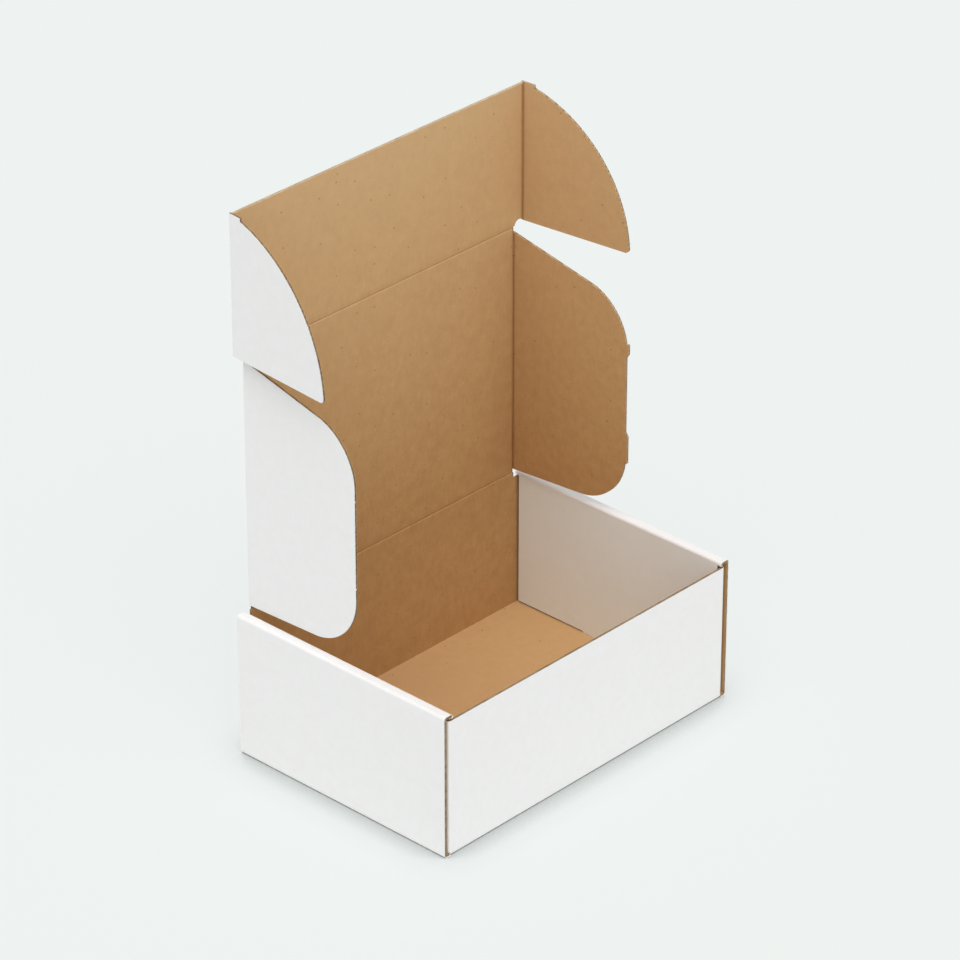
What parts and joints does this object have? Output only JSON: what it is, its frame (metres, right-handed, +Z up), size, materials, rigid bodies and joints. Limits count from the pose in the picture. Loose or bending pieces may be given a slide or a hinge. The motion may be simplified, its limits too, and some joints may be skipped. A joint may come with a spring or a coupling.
{
  "type": "mailer box",
  "caption": "Open corrugated mailing box with rolled side walls, and a hinged lid whose ears and rounded tuck flap fold in to close it.",
  "frame": {"origin": "under the middle of the floor, on the surface that the box stands on", "axes": "+X to the right along the box, -Y out of the front wall, +Z up"},
  "size_m": [0.2842, 0.1844, 0.3927],
  "materials": {
    "board": "matt corrugated board, brown kraft inside and on the cut edges, white outside"
  },
  "bodies": {
    "tray": {"tray": "board"},
    "lid": {"lid": "board"},
    "tuck_flap": {"tuck_flap": "board"},
    "left_lid_ear": {"left_lid_ear": "board"},
    "right_lid_ear": {"right_lid_ear": "board"},
    "left_tuck_ear": {"left_tuck_ear": "board"},
    "right_tuck_ear": {"right_tuck_ear": "board"}
  },
  "joints": [
    {"name": "lid_fold", "type": "hinge", "parent": "tray", "child": "lid", "pos_m": [0, 0.0913, 0.1051], "axis": [1, 0, 0], "range_deg": [-90, 90]},
    {"name": "tuck_flap_fold", "type": "hinge", "parent": "lid", "child": "tuck_flap", "pos_m": [0, 0.0913, 0.2899], "axis": [1, 0, 0], "range_deg": [0, 90]},
    {"name": "left_lid_ear_fold", "type": "hinge", "parent": "lid", "child": "left_lid_ear", "pos_m": [-0.1246, 0.0913, 0.1975], "axis": [0, 0, 1], "range_deg": [-88.6, 1.4]},
    {"name": "right_lid_ear_fold", "type": "hinge", "parent": "lid", "child": "right_lid_ear", "pos_m": [0.1246, 0.0913, 0.1975], "axis": [0, 0, -1], "range_deg": [-88.6, 1.4]},
    {"name": "left_tuck_ear_fold", "type": "hinge", "parent": "tuck_flap", "child": "left_tuck_ear", "pos_m": [-0.1331, 0.0913, 0.3427], "axis": [0, 0, 1], "range_deg": [-84.7, 5.3]},
    {"name": "right_tuck_ear_fold", "type": "hinge", "parent": "tuck_flap", "child": "right_tuck_ear", "pos_m": [0.1331, 0.0913, 0.3427], "axis": [0, 0, -1], "range_deg": [-84.7, 5.3]}
  ]
}
